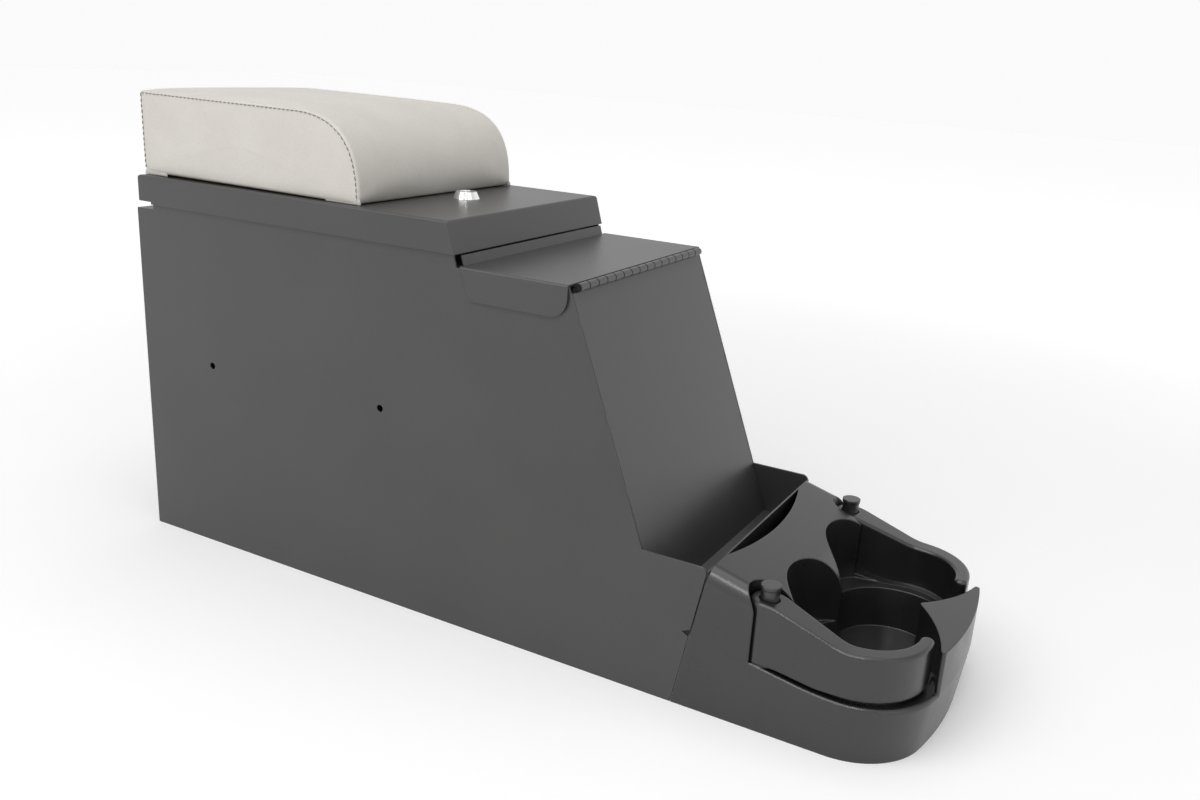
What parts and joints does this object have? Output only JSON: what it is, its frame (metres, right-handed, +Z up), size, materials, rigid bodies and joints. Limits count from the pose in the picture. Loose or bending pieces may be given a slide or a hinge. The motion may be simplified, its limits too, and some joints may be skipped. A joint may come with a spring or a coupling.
{
  "type": "center console",
  "caption": "Lockable sheet steel vehicle center console with padded armrest lid, hinged front flap, open tray and a moulded cup holder with swinging arms.",
  "frame": {"origin": "on the floor, under the middle of the console's bounding box", "axes": "+X forward to the cup holder, +Y to the left side, +Z up"},
  "size_m": [0.7174, 0.2204, 0.3944],
  "materials": {
    "coated_steel": "satin dark grey powder coat",
    "coated_hinge": "satin dark grey powder coat",
    "zinc_steel": "zinc plated",
    "moulding": "fine grained dark grey",
    "pin_plastic": "smooth dark grey",
    "vinyl": "light warm grey vinyl cover over foam",
    "board": "plain plywood",
    "lock_chrome": "bright"
  },
  "bodies": {
    "lid": {"lid": "coated_steel", "lid_hinge_lid_leaf": "zinc_steel", "armrest_board": "board", "armrest_pad": "vinyl", "pad_screws": "zinc_steel", "lock_housing": "lock_chrome", "lock_nut": "zinc_steel"},
    "lock": {"lock_plug": "lock_chrome", "lock_cam": "zinc_steel", "cam_screw": "zinc_steel"},
    "flap": {"front_flap": "coated_steel", "flap_hinge_flap_leaf": "coated_hinge"},
    "right_arm": {"right_cup_arm": "moulding"},
    "left_arm": {"left_cup_arm": "moulding"},
    "console": {"right_side_panel": "coated_steel", "left_side_panel": "coated_steel", "rear_panel": "coated_steel", "front_panel": "coated_steel", "floor_panel": "coated_steel", "latch_rail": "coated_steel", "lid_hinge_body_leaf": "zinc_steel", "lid_hinge_pin": "zinc_steel", "flap_hinge_panel_leaf": "coated_hinge", "flap_hinge_pin": "coated_hinge", "cup_holder": "moulding", "right_pivot_pin": "pin_plastic", "left_pivot_pin": "pin_plastic", "cup_holder_screws": "zinc_steel"}
  },
  "joints": [
    {"name": "lid_hinge", "type": "hinge", "parent": "console", "child": "lid", "pos_m": [-0.35346, 0, 0.2988], "axis": [0, -1, 0], "range_deg": [0, 100]},
    {"name": "lock_turn", "type": "hinge", "parent": "lid", "child": "lock", "pos_m": [-0.08966, 0, 0.324], "axis": [0, 0, 1], "range_deg": [0, 90]},
    {"name": "flap_hinge", "type": "hinge", "parent": "console", "child": "flap", "pos_m": [0.07876, 0, 0.2898], "axis": [0, 1, 0], "range_deg": [0, 110]},
    {"name": "right_arm_pivot", "type": "hinge", "parent": "console", "child": "right_arm", "pos_m": [0.23816, -0.0935, 0.0505], "axis": [0, 0, -1], "range_deg": [0, 30]},
    {"name": "left_arm_pivot", "type": "hinge", "parent": "console", "child": "left_arm", "pos_m": [0.23816, 0.0935, 0.0505], "axis": [0, 0, 1], "range_deg": [0, 30]}
  ]
}
